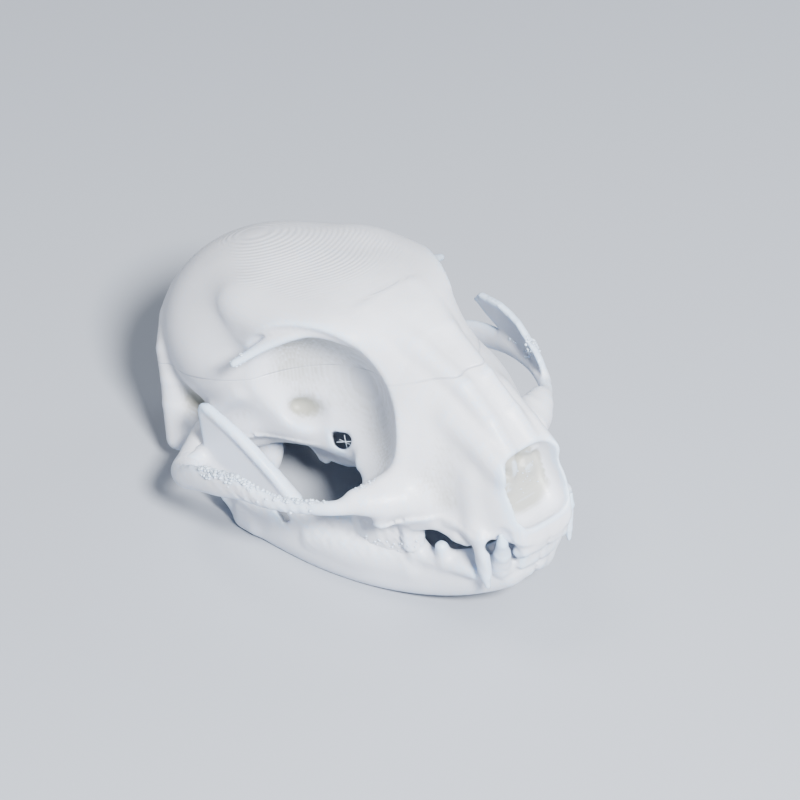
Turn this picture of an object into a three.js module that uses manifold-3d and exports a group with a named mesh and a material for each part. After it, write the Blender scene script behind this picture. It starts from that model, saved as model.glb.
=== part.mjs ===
// Life-size printed model of a domestic cat's skull with its jaw shut, resting on the jaw.
//
// All shapes are laid out in the skull's own frame, in millimetres:
//   x  sideways from the middle plane (+x is the animal's left)
//   y  backwards from the front of the upper jaw
//   z  upwards from the level of the upper tooth sockets
// The finished pieces sit in one group that tips the nose up until the jaw lies on its flats.

import * as THREE from 'three';
import { mergeVertices } from 'three/addons/utils/BufferGeometryUtils.js';
import Module from 'manifold-3d';

const wasm = await Module();
wasm.setup();

// ---------------------------------------------------------------- driving dimensions

const NOSE_UP = THREE.MathUtils.degToRad(8.62); // tilt of the tooth line when the jaw lies flat
const REST_DEPTH = 14.1;     // how far below the tooth-socket level the table meets the jaw
const PIVOT_BACK = 45;       // the tilt turns about this distance behind the front teeth
const MIDDLE_BACK = 44.38;   // this distance behind the front teeth stands over the origin
const GAP = 0.3;             // width of the thin cuts that part the pieces
const SKIN_GAP = 0.5;        // the same where a piece meets the curved skin of the upper skull
const FACE_END = 40;         // the cut between face and braincase

const BRAINCASE = { centre: [0, 65.1, 16.7], radii: [21.3, 23, 17] };
const SKULL_FLOOR = { from: [0, 34, 9], to: [0, 84, 8], radius: [6, 6.5] };
const OCCIPUT = { centre: [0, 78.5, 11.5], radii: [14.5, 8.6, 11] };
const NECK_SIDE = { centre: [14.8, 77.5, 7], radii: [3.6, 5, 8.5] };
const JAW_JOINT_WALL = { centre: [15.2, 61, 5], radii: [4.2, 6.8, 5.2] };
const ORBIT = { centre: [22.5, 34.8, 18], radii: [16, 18.3, 15.6], turn: 8 };
const ORBIT_POCKET = { centre: [20.8, 30, 14.2], radii: [9.2, 13, 8.5] };
const ORBIT_OPEN_FLOOR = { centre: [22.4, 42, -1.5], radii: [10.6, 16.2, 7], turn: -9, square: 4 };
const THROAT = { centre: [0, 49, -1.5], radii: [7, 12.5, 8], square: 3 };
const NOSTRIL = { centre: [0, 0.4, 8.3], radii: [5.6, 5.4, 6.2], tip: -35, square: 4 };
const EAR_CAPSULE = { centre: [12.5, 71, -0.5], radii: [7, 9.5, 7.2], turn: -12 };
const EAR_CAPSULE_LIP = { centre: [10.2, 61.6, -3.4], radii: [2.3, 3.2, 5.2] };
const CONDYLE = { centre: [5.8, 84.6, 5.2], radii: [3.8, 3.4, 4.4] };
const SPINE_HOLE = { centre: [0, 89.8, 10], radii: [6.3, 6.8, 5] };

// Brow: half width and top height at distances behind the front teeth.
const BROW = {
  from: 18,
  to: 67,
  widest: 0.66,
  half: curve([[18, 4], [24, 8], [28, 9.8], [33, 11.8], [38, 14.6], [43, 17.8], [49, 19], [55, 18], [61, 15],
    [67, 8]]),
  roof: curve([[18, 24], [24, 28.2], [28, 30.4], [34, 33], [40, 34.4], [46, 35], [52, 34.9], [58, 34.2],
    [67, 31.5]]),
  floor: () => 14,
  square: () => 2.8,
};

// Muzzle, from the front teeth to the back of the palate.
const MUZZLE = {
  from: -1.2,
  to: 33,
  widest: 0.14,
  half: curve([[-1, 5.8], [1, 7.4], [4, 8.6], [8, 9.5], [12, 11], [17, 14.6], [22, 18], [28, 19.3], [33, 18.5]]),
  roof: curve([[-1, 10], [2.6, 13.8], [8, 19.2], [14, 23.8], [20, 27.2], [28, 30.2], [34, 32]]),
  floor: curve([[-1, -1.5], [8, -1.3], [12, -0.5], [15, -0.6], [18, -1.8], [33, -2.5]]),
  square: curve([[-1, 2.7], [6, 2.1], [14, 1.75], [24, 1.75], [34, 2.1]]),
};

// Walls between the eye sockets, down to the hollow behind the palate.
const SOCKET_WALL = {
  from: 28,
  to: 60,
  widest: 0.16,
  half: curve([[28, 12.5], [36, 10.8], [44, 11.6], [52, 13.8], [60, 15.5]]),
  roof: () => 24,
  floor: curve([[28, 0], [34, 0.6], [44, 0.8], [50, 1.8], [60, 0.6]]),
  square: () => 2.2,
};

// Lower jaw: height of the under edge and half width of the outer side.
const jawLow = curve([[0, -9], [3.4, -10.6], [5.5, -11.9], [9, -13.7], [14, -15.3], [20, -16.4], [27, -16.6],
  [35, -16], [43, -14.7], [52, -13.2], [58, -10.5]]);
const jawOut = curve([[2, 3], [5, 6.1], [8, 8], [15, 11.3], [20, 13.6], [30, 17.8], [40, 20.8], [50, 22.5],
  [60, 23.5], [66, 24]]);
const jawBlade = curve([[38, 18.3], [50, 20.9], [60, 22.6], [66, 23.2]]);
const JAW_BLADE_THICK = 1.5;
const JAW_BLADE_LEAN = 0.06; // how much the blade leans outwards as it rises
const JAW_RIM_THICK = 1.9;
const JAW_RIM_INSET = 1.3;   // from the jaw's outer side in to the middle of its rim

// Bars are rows of x, y, z, half width, half height.
const ARCH_BAR = [[15.6, 17.2, 5.6, 1.8, 2.2], [20.8, 20.8, 6.1, 1.4, 1.7], [25.4, 25, 5.9, 1.2, 1.4],
  [28, 30, 5.7, 1.1, 1.3], [29.9, 35, 5.7, 1.1, 1.5], [31.3, 41, 6.2, 1.1, 2.1], [32.3, 47, 5.5, 1.2, 2.5],
  [32.5, 53, 4.3, 1.4, 2.4], [31.4, 57.8, 2.9, 1.8, 2.1], [28.8, 61.2, 2.1, 2.3, 1.8], [25, 63.8, 2, 2.9, 1.8],
  [19, 66, 3.4, 3.6, 2.6]];
const CHEEK_ROOT_BAR = [[12.2, 17.6, 4.2, 3.7, 3.7], [16.4, 19.2, 5.3, 2.8, 2.8], [20.4, 20.8, 6.2, 1.9, 2]];
const SOCKET_RIM_BAR = [[12.5, 18.5, 7.4, 2.4, 2.4], [17, 20.8, 7.4, 1.9, 1.9], [21.4, 22.8, 6.9, 1.5, 1.5]];
const BROW_TIP_BAR = [[9, 34.6, 29.2, 2.6, 1.5], [13.2, 40.2, 29.8, 2.4, 1.2], [18.6, 45.1, 27.7, 1.6, 0.9],
  [24.1, 48.5, 25, 0.9, 0.5]];
const NOSE_EDGE_BAR = [[4.6, 2.4, 11.6, 1.2, 1.2], [5.1, 7.5, 14.6, 1.2, 1.2], [5.9, 14, 17.9, 1, 1]];
const NECK_CREST_BAR = [[0.4, 85.5, 22.5, 1.6, 1.6], [8, 84, 21, 1.4, 1.4], [13.5, 81, 18.5, 1.4, 1.4],
  [17.8, 78.4, 14.5, 1.6, 1.6], [18.6, 77, 9, 1.9, 1.9], [18.5, 76.8, 4, 2.2, 2.2], [18.2, 76.6, -2, 2.3, 2.3]];
const SOCKET_NERVE_HOLE_BAR = [[12.4, 36, 8.8, 1.5, 1.5], [8.6, 40.6, 5.2, 1.5, 1.5], [4.9, 45.2, 1.5, 1.6, 1.6]];
const GUM_BAR = [[9.2, 9.2, -2, 1.2, 1.2], [9.7, 11, -1.6, 1.2, 1.2], [10.3, 13, -0.6, 1.2, 1.2],
  [11.3, 15, 0.4, 1.3, 1.3], [12.8, 18, -0.2, 1.5, 1.5]];
const UPPER_CANINE_BAR = [[8.4, 7, 3.5, 1.7, 2.3], [9.2, 5.6, 0.5, 1.5, 2.1], [9.6, 5.2, -3.5, 1.3, 1.8],
  [9.7, 4.8, -6.8, 0.95, 1.2], [9.6, 4.5, -9.7, 0.35, 0.4]];
const UPPER_FRONT_EDGE_BAR = [[-4.4, 1.6, -3.6, 1.2, 1.2], [0, 0.9, -3.2, 1.2, 1.2], [4.4, 1.6, -3.6, 1.2, 1.2]];
const UPPER_TOOTH_ROW_THICK = 2.5;
const upperToothRow = curve([[15, 11], [20, 12.3], [25, 13.7], [30, 14.8], [37, 15.8]]);
const LOWER_CANINE_BAR = [[5.8, 5.2, -7.2, 2.1, 2.1], [7, 3.1, -3.5, 1.4, 1.4], [7.8, 1.9, -0.5, 0.95, 0.95],
  [8.2, 1.5, 1.6, 0.4, 0.4]];
const LOWER_THIRD_PREMOLAR_BAR = [[10.2, 14.2, -8, 1.5, 1.5], [10.9, 14, -4, 0.8, 0.8]];
const LOWER_FOURTH_PREMOLAR_BAR = [[11.6, 19.8, -8, 2.1, 2.1], [12, 20.2, -3, 0.9, 0.9]];
const JAW_HINGE_BAR = [[16.5, 63, 0.8, 1.9, 1.9], [22, 62.5, 0.8, 1.8, 1.8], [28, 62, 0.9, 1.7, 1.7]];
const JAW_HEEL_BAR = [[21.2, 52.5, -10.2, 2, 2], [21.2, 56, -10.6, 1.4, 1.4], [20.6, 58.4, -10.9, 0.9, 0.9]];
const JAW_CHIN_BAR = [[-1.5, 4.6, -7.9, 2.2, 3.3], [1.5, 4.6, -7.9, 2.2, 3.3], [3, 8, -9.4, 2.2, 3.9],
  [5.4, 13, -11.4, 1.4, 2.8]];
const JAW_ROOT_BAR = [[12.8, 21, -9.8, 1.8, 2.4], [16.2, 30, -9.4, 2.2, 2.8], [19.2, 39, -8, 2, 2.6]];
const JAW_BLADE_EDGE_BAR = [[18.8, 43.2, -3, 1.4, 1.1], [20.8, 47.1, 2.8, 1.3, 1], [22.3, 53, 8.1, 1.1, 0.9],
  [23.4, 59, 11.7, 0.8, 0.7]];
const JAW_SLIT_BAR = [[-22.6, 42.8, -3.9, 0.5, 1.2], [-18, 48.6, -8.3, 0.5, 1.2]];
const JAW_BODY_STATIONS = [[6.4, 2.6, 3.9], [9, 2.4, 4.1], [14, 2, 4.3], [21, 2.3, 4.4], [29, 2.6, 4.4],
  [38, 2.4, 4.6], [47, 2.1, 5.2], [55, 1.6, 4.2]]; // y, half width, half height

// Side outlines, as y and z.
const PALATE_WING_OUTLINE = [[36, 5], [38, 0.2], [42, -1.4], [47, -2.6], [48.4, -4], [50.2, -3.8], [51, -2.2],
  [53, -1], [54.5, 4]];
const UPPER_TOOTH_ROW_OUTLINE = [[17, 3], [16.9, -5.4], [17.6, -8], [19.4, -7.2], [21, -8.6], [25, -9],
  [29, -7.4], [31.6, -7.6], [32.4, -5.2], [31.6, -1], [29.5, 2]];
const JAW_RIM_OUTLINE = [[15.6, -12], [16.4, -7.9], [23.1, -8.9], [25.2, -8.3], [27.6, -9.3], [31.2, -8],
  [34, -9.2], [34.9, -7.8], [44.5, -4.2], [46, -8], [44, -12]];
const JAW_BLADE_OUTLINE = [[38.2, -10], [41.2, -4.7], [46.6, 2.1], [53.5, 8.7], [58.8, 12.2], [60.6, 12.6],
  [61.6, 11], [61.8, 3.5], [64.5, 1.5], [61.4, -3.5], [59.2, -7.5], [56, -11.2], [50, -12]];
const CHEEK_PRONG_OUTLINE = [[26, 5.5], [27.4, 10.3], [31.2, 12.2], [34.2, 14.4], [40, 15.9], [46.2, 15.7],
  [48.6, 13.6], [46.2, 11.2], [43.4, 9], [41.8, 6]];
const prongSide = curve([[24, 25.8], [30, 29], [38, 31.7], [47, 33]]);
const PRONG_LEAN = 0.26;
const PRONG_FOOT = 7;        // the prong leans inwards above this height
const PRONG_THICK = 1.5;
const PALATE_WING_THICK = 1.7;
const palateWing = (z) => 7.15 + 0.06 * z;

const INCISORS_A_SIDE = 3;
const UPPER_INCISOR_PITCH = 1.75;
const LOWER_INCISOR_PITCH = 1.33;

// ---------------------------------------------------------------- curves and distances

// Smooth curve through [place, value] pairs that never overshoots them.
function curve(pairs) {
  const slope = pairs.slice(1).map(([x, v], i) => (v - pairs[i][1]) / (x - pairs[i][0]));
  const lean = pairs.map((_, i) => {
    if (i === 0) return slope[0];
    if (i === pairs.length - 1) return slope[i - 1];
    const product = slope[i - 1] * slope[i];
    return product <= 0 ? 0 : 2 * product / (slope[i - 1] + slope[i]);
  });
  return (place) => {
    const x = THREE.MathUtils.clamp(place, pairs[0][0], pairs[pairs.length - 1][0]);
    let i = 0;
    while (i < pairs.length - 2 && x > pairs[i + 1][0]) i += 1;
    const width = pairs[i + 1][0] - pairs[i][0];
    const t = (x - pairs[i][0]) / width;
    const rise = t * t * (3 - 2 * t);
    return pairs[i][1] * (1 - rise) + pairs[i + 1][1] * rise
      + width * (lean[i] * t * (1 - t) * (1 - t) - lean[i + 1] * t * t * (1 - t));
  };
}

// Two distances joined with a round fillet of size k.
function blend(a, b, k) {
  const h = THREE.MathUtils.clamp(0.5 + 0.5 * (b - a) / k, 0, 1);
  return b + (a - b) * h - k * h * (1 - h);
}

function eggDistance({ centre, radii }, x, y, z) {
  const q = [x - centre[0], y - centre[1], z - centre[2]];
  const near = Math.hypot(...q.map((v, i) => v / radii[i])) + 1e-6;
  const steep = Math.hypot(...q.map((v, i) => v / radii[i] ** 2)) + 1e-6;
  return near * (near - 1) / steep;
}

function rodDistance({ from, to, radius }, x, y, z) {
  const start = new THREE.Vector3(...from);
  const line = new THREE.Line3(start, new THREE.Vector3(...to));
  const point = new THREE.Vector3(x, y, z);
  const t = line.closestPointToPointParameter(point, true);
  return point.distanceTo(line.at(t, start.clone())) - THREE.MathUtils.lerp(radius[0], radius[1], t);
}

function loftDistance({ from, to, widest, half, roof, floor, square }, x, y, z) {
  const [top, low, n] = [roof(y), floor(y), square(y)];
  const level = low + (top - low) * widest;
  const reach = z > level ? top - level : level - low;
  const q = (Math.abs(x / half(y)) ** n + Math.abs((z - level) / reach) ** n) ** (1 / n);
  return Math.max((q - 1) * Math.min(half(y), reach), from - y, y - to);
}

// The whole upper skull before anything is cut from it: negative inside.
function skullDistance(x, y, z) {
  const side = Math.abs(x);
  const brain = blend(eggDistance(BRAINCASE, x, y, z), loftDistance(BROW, x, y, z), 4);
  const base = blend(brain, rodDistance(SKULL_FLOOR, x, y, z), 5);
  const back = blend(base, eggDistance(OCCIPUT, x, y, z), 4);
  const neck = blend(back, eggDistance(NECK_SIDE, side, y, z), 3);
  const joint = blend(neck, eggDistance(JAW_JOINT_WALL, side, y, z), 3);
  const front = blend(joint, loftDistance(MUZZLE, x, y, z), 2.5);
  return blend(front, loftDistance(SOCKET_WALL, x, y, z), 4);
}

// ---------------------------------------------------------------- solids

function solidOf(geometry) {
  const bare = geometry.clone();
  bare.deleteAttribute('normal');
  bare.deleteAttribute('uv');
  const merged = mergeVertices(bare, 1e-4);
  const points = Float32Array.from(merged.attributes.position.array);
  const faces = Uint32Array.from(merged.index.array).reduce((kept, _, i, all) => {
    if (i % 3 !== 0) return kept;
    const [a, b, c] = [all[i], all[i + 1], all[i + 2]];
    if (a !== b && b !== c && c !== a) kept.push(a, b, c);
    return kept;
  }, []);
  const build = (order) => new wasm.Manifold(new wasm.Mesh({
    numProp: 3, vertProperties: points, triVerts: Uint32Array.from(order),
  }));
  const solid = build(faces);
  if (solid.volume() > 0) return solid;
  return build(faces.map((_, i) => faces[i % 3 === 0 ? i : i % 3 === 1 ? i + 1 : i - 1]));
}

// A closed skin of rings with a pole at each end. place(ring, angle) gives a point,
// ring 0 and ring count + 1 being the poles.
function ringed(count, sides, place) {
  const geometry = new THREE.SphereGeometry(1, sides, count + 1);
  const position = geometry.attributes.position;
  for (let ring = 0; ring <= count + 1; ring += 1) {
    for (let side = 0; side <= sides; side += 1) {
      const angle = 2 * Math.PI * (side % sides) / sides;
      const pole = ring === 0 || ring === count + 1;
      position.setXYZ(ring * (sides + 1) + side, ...place(ring, pole ? 0 : angle));
    }
  }
  return solidOf(geometry);
}

// An egg; square above 2 makes it boxier.
function egg({ centre, radii, turn = 0, tip = 0, square = 2 }, grow = 0, sides = 24) {
  const geometry = new THREE.SphereGeometry(1, sides, Math.round(sides * 0.6));
  const position = geometry.attributes.position;
  for (let i = 0; i < position.count; i += 1) {
    const point = new THREE.Vector3().fromBufferAttribute(position, i);
    const size = point.toArray().reduce((sum, v) => sum + Math.abs(v) ** square, 0) ** (1 / square);
    position.setXYZ(i, ...point.divideScalar(size).toArray());
  }
  geometry.scale(radii[0] + grow, radii[1] + grow, radii[2] + grow);
  geometry.rotateX(THREE.MathUtils.degToRad(tip));
  geometry.rotateZ(THREE.MathUtils.degToRad(turn));
  geometry.translate(...centre);
  return solidOf(geometry);
}

// Rounded path through the rows of a bar, with some rows added between them.
function rounded(rows, added) {
  const path = [rows[0].map((v, i) => 2 * v - rows[1][i]), ...rows,
    rows[rows.length - 1].map((v, i) => 2 * v - rows[rows.length - 2][i])];
  const out = [];
  for (let i = 1; i < path.length - 2; i += 1) {
    for (let step = 0; step < added; step += 1) {
      const t = step / added;
      out.push(path[i].map((v, k) => {
        const [a, b, c, d] = [path[i - 1][k], v, path[i + 1][k], path[i + 2][k]];
        const bend = 2 * a - 5 * b + 4 * c - d;
        const twist = 3 * b - a - 3 * c + d;
        return 0.5 * (2 * b + (c - a) * t + bend * t * t + twist * t ** 3);
      }));
    }
  }
  out.push(path[path.length - 2]);
  return out;
}

// A bar of oval section along its rows; grow makes it fatter all round.
function bar(rows, { sides = 6, added = 1, grow = 0 } = {}) {
  const path = rounded(rows, added);
  const at = (i) => new THREE.Vector3(...path[THREE.MathUtils.clamp(i, 0, path.length - 1)].slice(0, 3));
  const up = new THREE.Vector3(0, 0, 1);
  return ringed(path.length, sides, (ring, angle) => {
    const i = THREE.MathUtils.clamp(ring - 1, 0, path.length - 1);
    const along = at(i + 1).sub(at(i - 1)).normalize();
    const upright = Math.abs(along.z) > 0.9;
    const side = upright ? new THREE.Vector3(1, 0, 0) : new THREE.Vector3().crossVectors(along, up).normalize();
    const rise = new THREE.Vector3().crossVectors(side, along).normalize();
    const wide = path[i][3] + grow;
    const tall = path[i][4] + grow;
    if (ring === 0 || ring === path.length + 1) {
      return at(i).addScaledVector(along, (ring === 0 ? -1 : 1) * 0.7 * Math.min(wide, tall)).toArray();
    }
    return at(i)
      .addScaledVector(side, wide * Math.cos(angle))
      .addScaledVector(rise, tall * Math.sin(angle))
      .toArray();
  });
}

// An upright plate with a side outline; middle(y, z) is how far out its middle lies.
function plate(outline, thick, middle, grow = 0) {
  const shape = new THREE.Shape(outline.map(([y, z]) => new THREE.Vector2(y, z)));
  const geometry = new THREE.ExtrudeGeometry(shape, { depth: thick + 2 * grow, bevelEnabled: false, steps: 1 });
  const position = geometry.attributes.position;
  for (let i = 0; i < position.count; i += 1) {
    const [y, z, depth] = [position.getX(i), position.getY(i), position.getZ(i)];
    position.setXYZ(i, middle(y, z) + depth - thick / 2 - grow, y, z);
  }
  return solidOf(geometry);
}

function block([x0, y0, z0], [x1, y1, z1]) {
  const geometry = new THREE.BoxGeometry(x1 - x0, y1 - y0, z1 - z0);
  geometry.translate((x0 + x1) / 2, (y0 + y1) / 2, (z0 + z1) / 2);
  return solidOf(geometry);
}

const joined = (solids) => solids.reduce((all, one) => all.add(one));
const mirrored = (solid) => solid.mirror([1, 0, 0]);
const bothSides = (solid) => solid.add(mirrored(solid));

// ---------------------------------------------------------------- upper skull

// Skin of the upper skull: rings across it, each point pushed out to the surface.
function skullBody(grow) {
  const [front, back, rings, sides] = [MUZZLE.from, BRAINCASE.centre[1] + BRAINCASE.radii[1], 27, 22];
  const spine = curve([[front, 4.5], [12, 9], [30, 17], [60, 17], [back, BRAINCASE.centre[2]]]);
  const reach = 45;
  const surface = (point) => {
    let [low, high] = [0, reach];
    while (high > 0 && skullDistance(...point(high)) > grow) high -= 0.5;
    low = Math.max(high, 0);
    high = low + 0.5;
    for (let i = 0; i < 12; i += 1) {
      const middle = (low + high) / 2;
      if (skullDistance(...point(middle)) > grow) high = middle;
      else low = middle;
    }
    return point(low);
  };
  const skin = ringed(rings, sides, (ring, angle) => {
    const across = (1 - Math.cos(Math.PI * ring / (rings + 1))) / 2;
    const even = ring / (rings + 1);
    const share = (across + 2 * even) / 3;
    const y = (front - grow) + (back - front + 2 * grow) * share;
    if (ring === 0 || ring === rings + 1) return [0, y, spine(y)];
    return surface((r) => [r * Math.sin(angle), y, spine(y) + r * Math.cos(angle)]);
  });
  return bothSides(skin.intersect(block([0, -20, -40], [60, 120, 60])));
}

function earCapsule(grow) {
  return egg(EAR_CAPSULE, grow, 12).add(egg(EAR_CAPSULE_LIP, grow, 8));
}

function upperTeeth(grow) {
  const teeth = [
    bar(UPPER_CANINE_BAR, { grow, sides: 8 }),
    bar(GUM_BAR, { grow }),
    plate(UPPER_TOOTH_ROW_OUTLINE, UPPER_TOOTH_ROW_THICK, upperToothRow, grow),
  ];
  for (let i = 0; i < INCISORS_A_SIDE; i += 1) {
    const x = 0.95 + UPPER_INCISOR_PITCH * i;
    const back = 0.12 * i * i;
    const root = [x, back + 0.1, 1.4, 1.1, 1.1];
    const tip = [x, back - 0.3, -2.8 - 0.2 * i, 0.9, 0.9];
    teeth.push(bar([root, tip], { grow }));
  }
  return bothSides(joined(teeth)).add(bar(UPPER_FRONT_EDGE_BAR, { grow }));
}

// Everything of the upper skull but the arches and ear capsules. grow gives the same
// shape with a margin, which is what the neighbouring pieces are cut back to.
function upperSkull(grow) {
  const trims = bothSides(joined([
    bar(BROW_TIP_BAR, { grow }),
    bar(NECK_CREST_BAR, { grow, sides: 7 }),
    plate(PALATE_WING_OUTLINE, PALATE_WING_THICK, (y, z) => palateWing(z), grow),
    egg(CONDYLE, grow, 10),
    bar(SOCKET_RIM_BAR, { grow }),
    bar(NOSE_EDGE_BAR, { grow }),
  ]));
  const hollows = joined([
    bothSides(egg(ORBIT, -grow, 16).add(egg(ORBIT_POCKET, -grow, 10)).add(egg(ORBIT_OPEN_FLOOR, -grow, 10))),
    egg(THROAT, -grow, 10),
    egg(SPINE_HOLE, -grow, 10),
  ]);
  const cheekRoots = bothSides(bar(CHEEK_ROOT_BAR, { grow, sides: 9 }));
  const solid = skullBody(grow).add(cheekRoots).subtract(hollows).add(trims);
  const holes = egg(NOSTRIL, -grow, 12).add(bothSides(bar(SOCKET_NERVE_HOLE_BAR, { grow: -grow, sides: 7 })));
  return solid.subtract(holes).add(upperTeeth(grow));
}

const skull = upperSkull(0);
const skullWithMargin = upperSkull(SKIN_GAP);

const face = skull.intersect(block([-60, -20, -40], [60, FACE_END - GAP / 2, 60]));
const braincase = skull.intersect(block([-60, FACE_END + GAP / 2, -40], [60, 120, 60]));
const earCapsuleLeft = earCapsule(0).subtract(skullWithMargin);

const archBar = bar(ARCH_BAR, { sides: 7, added: 2 });
const archRight = mirrored(archBar).subtract(skullWithMargin).subtract(mirrored(earCapsule(GAP)));
const prong = plate(CHEEK_PRONG_OUTLINE, PRONG_THICK,
  (y, z) => prongSide(y) - PRONG_LEAN * Math.max(z - PRONG_FOOT, 0));
const archLeft = archBar.add(prong).subtract(skullWithMargin).subtract(earCapsule(GAP));

// ---------------------------------------------------------------- lower jaw

function jawHalf() {
  const body = JAW_BODY_STATIONS.map(([y, wide, tall]) => [jawOut(y) - wide, y, jawLow(y) + tall, wide, tall]);
  const pieces = [
    bar(body, { sides: 8 }),
    bar(JAW_CHIN_BAR),
    bar(JAW_ROOT_BAR),
    bar(JAW_HINGE_BAR),
    bar(JAW_HEEL_BAR),
    bar(JAW_BLADE_EDGE_BAR),
    bar(LOWER_CANINE_BAR),
    bar(LOWER_THIRD_PREMOLAR_BAR),
    bar(LOWER_FOURTH_PREMOLAR_BAR),
    plate(JAW_RIM_OUTLINE, JAW_RIM_THICK, (y) => jawOut(y) - JAW_RIM_INSET),
    plate(JAW_BLADE_OUTLINE, JAW_BLADE_THICK, (y, z) => jawBlade(y) + JAW_BLADE_LEAN * (z + 5)),
  ];
  for (let i = 0; i < INCISORS_A_SIDE; i += 1) {
    const x = 0.8 + LOWER_INCISOR_PITCH * i;
    const root = [x, 2.2 + 0.2 * i, -7, 1, 1];
    const tip = [x, 0.9 + 0.3 * i, -3.4, 0.7, 0.7];
    pieces.push(bar([root, tip]));
  }
  return joined(pieces);
}

// The table, as a block in the tilted frame of the skull.
function table() {
  const geometry = new THREE.BoxGeometry(200, 200, 40);
  geometry.translate(0, 0, -20 - REST_DEPTH);
  geometry.rotateX(NOSE_UP);
  geometry.translate(0, PIVOT_BACK, 0);
  return solidOf(geometry);
}

const neighbours = skullWithMargin
  .add(bothSides(bar(ARCH_BAR, { sides: 7, added: 2, grow: GAP })))
  .add(bothSides(earCapsule(GAP)));
const jawLeft = jawHalf()
  .intersect(block([GAP / 2, -40, -60], [60, 120, 60]))
  .subtract(neighbours)
  .subtract(table());
const jawRight = mirrored(jawLeft).subtract(bar(JAW_SLIT_BAR));

// ---------------------------------------------------------------- the object

const plastic = { roughness: 0.42, metalness: 0 };
const pieces = {
  braincase: [braincase, 0xdfe3ea],
  face: [face, 0xe3e6ec],
  cheek_arch_left: [archLeft, 0xd9e1ec],
  cheek_arch_right: [archRight, 0xd9e1ec],
  ear_capsule_left: [earCapsuleLeft, 0xdadfe7],
  ear_capsule_right: [mirrored(earCapsuleLeft), 0xdadfe7],
  jaw_left: [jawLeft, 0xdbe2ec],
  jaw_right: [jawRight, 0xdbe2ec],
};

const largest = (solid) => solid.decompose().sort((a, b) => b.volume() - a.volume())[0];

function meshOf(name, solid, colour) {
  const { vertProperties, triVerts } = largest(solid).getMesh();
  const geometry = new THREE.BufferGeometry();
  geometry.setAttribute('position', new THREE.BufferAttribute(vertProperties, 3));
  geometry.setIndex(new THREE.BufferAttribute(triVerts, 1));
  geometry.computeVertexNormals();
  const mesh = new THREE.Mesh(geometry, new THREE.MeshStandardMaterial({ color: colour, ...plastic }));
  mesh.name = name;
  return mesh;
}

const tilted = new THREE.Group();
tilted.rotation.x = -NOSE_UP;
tilted.position.y = (PIVOT_BACK - MIDDLE_BACK) - PIVOT_BACK * Math.cos(NOSE_UP);
tilted.position.z = REST_DEPTH + PIVOT_BACK * Math.sin(NOSE_UP);
for (const [name, [solid, colour]] of Object.entries(pieces)) tilted.add(meshOf(name, solid, colour));

const group = new THREE.Group();
group.add(tilted);

export default group;
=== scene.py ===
"""A life-size cat's skull, printed in one piece in milky white plastic, on a pale table.

The bone shapes are laid out in the skull's own frame, in millimetres: x sideways from the middle
plane (+x is the animal's left), y backwards from the front teeth, z up from the tooth sockets.
Bones run into each other without edges, so they are made as one soft-joined field and skinned.
The finished meshes are tipped nose-up until the jaw lies flat, and turned to metres.
"""
import math

import bmesh
import bpy
import numpy as np
import openvdb
from mathutils import Matrix, Vector
from mathutils.bvhtree import BVHTree


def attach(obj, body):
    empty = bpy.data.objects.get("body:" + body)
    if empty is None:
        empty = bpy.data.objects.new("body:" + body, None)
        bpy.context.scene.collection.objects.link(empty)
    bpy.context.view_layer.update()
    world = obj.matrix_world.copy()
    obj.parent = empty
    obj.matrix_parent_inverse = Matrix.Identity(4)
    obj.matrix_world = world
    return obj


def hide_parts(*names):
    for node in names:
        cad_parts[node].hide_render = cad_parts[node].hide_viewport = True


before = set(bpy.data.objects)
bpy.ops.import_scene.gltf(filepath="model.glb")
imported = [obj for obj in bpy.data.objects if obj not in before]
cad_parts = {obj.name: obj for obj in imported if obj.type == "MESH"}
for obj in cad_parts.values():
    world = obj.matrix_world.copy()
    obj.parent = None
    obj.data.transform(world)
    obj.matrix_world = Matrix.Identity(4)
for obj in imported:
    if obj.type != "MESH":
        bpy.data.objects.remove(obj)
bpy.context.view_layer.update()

NOSE_UP = math.radians(8.62)      # how far the tooth line tips up when the jaw lies on the table
REST_DEPTH = 14.1                 # from the tooth-socket level down to the table, at the pivot
PIVOT_BACK = 45.0                 # the tilt turns about this distance behind the front teeth
MIDDLE_BACK = 44.38               # this distance behind the front teeth stands over the origin
GRAIN = 0.47   # spacing of the field the skin is drawn from
FIELD_LOW = (-6, -19)             # front and bottom of the field
FIELD_HIGH = (37, 93, 39)         # side, back and top of the field
FAR_OUTSIDE = 30.0                # the field's value where no shape is near
BAND = 3.0                        # distances beyond this make no difference to the skin
FOOT_GAP = 0.02                   # the underside is cut flat this far above the table
BOXY_REACH = 1.12                 # a boxy egg's corners stand this much past those of a round one

# ------------------------------------------------------------------ soft-joined shapes

def soft_min(a, b, k):
    """The smaller of two distances, with a fillet of size k where they cross."""
    h = np.clip(0.5 + 0.5 * (b - a) / k, 0, 1)
    return b + (a - b) * h - k * h * (1 - h)


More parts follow.
